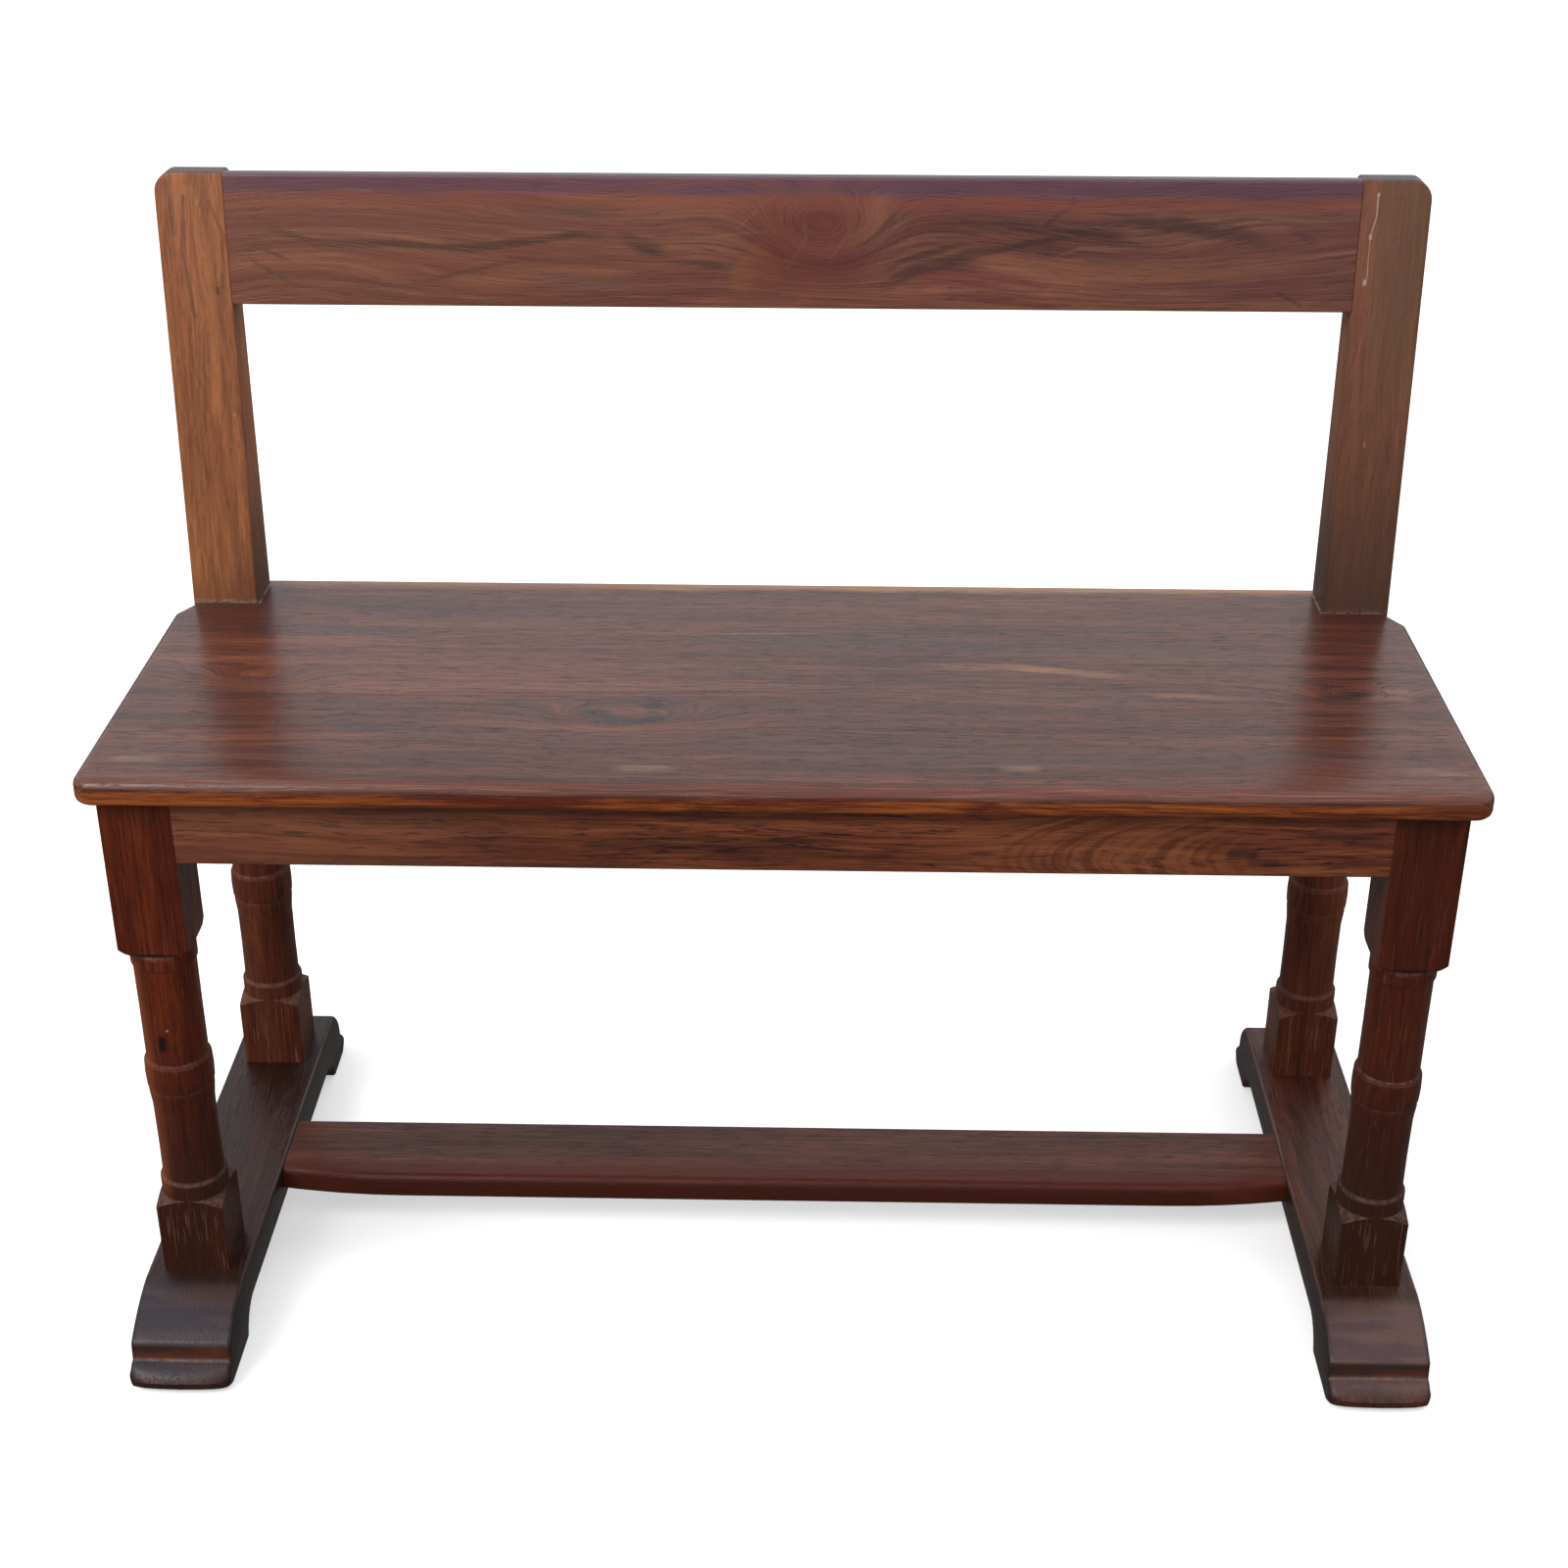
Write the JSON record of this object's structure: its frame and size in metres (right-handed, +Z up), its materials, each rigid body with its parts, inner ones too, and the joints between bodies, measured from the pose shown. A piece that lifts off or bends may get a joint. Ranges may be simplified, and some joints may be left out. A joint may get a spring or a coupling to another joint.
{
  "type": "bench",
  "caption": "Low-backed wooden bench with a plank seat, turned legs on arched runner feet, a flat stretcher and a raked back with a single crest rail.",
  "frame": {"origin": "on the floor, at the middle of the bench's footprint", "axes": "+Z up, +X to the sitter's left along the seat's length, +Y towards the back rest"},
  "size_m": [0.9, 0.438, 0.7545],
  "materials": {
    "seat_wood": "satin polish",
    "post_wood": "satin polish",
    "rail_wood": "satin polish",
    "apron_wood": "satin polish",
    "leg_wood": "satin polish",
    "foot_wood": "satin polish",
    "stretcher_wood": "satin polish",
    "peg_wood": "satin polish",
    "screw_steel": "plated"
  },
  "bodies": {
    "root": {"seat_board": "seat_wood", "left_back_post": "post_wood", "right_back_post": "post_wood", "crest_rail": "rail_wood", "front_apron": "apron_wood", "rear_apron": "apron_wood", "left_side_apron": "apron_wood", "right_side_apron": "apron_wood", "front_left_leg": "leg_wood", "front_right_leg": "leg_wood", "rear_left_leg": "leg_wood", "rear_right_leg": "leg_wood", "left_foot": "foot_wood", "right_foot": "foot_wood", "stretcher": "stretcher_wood", "apron_pegs": "peg_wood", "crest_rail_pegs": "peg_wood", "seat_plugs": "peg_wood", "seat_screws": "screw_steel", "post_screws": "screw_steel"}
  },
  "joints": []
}
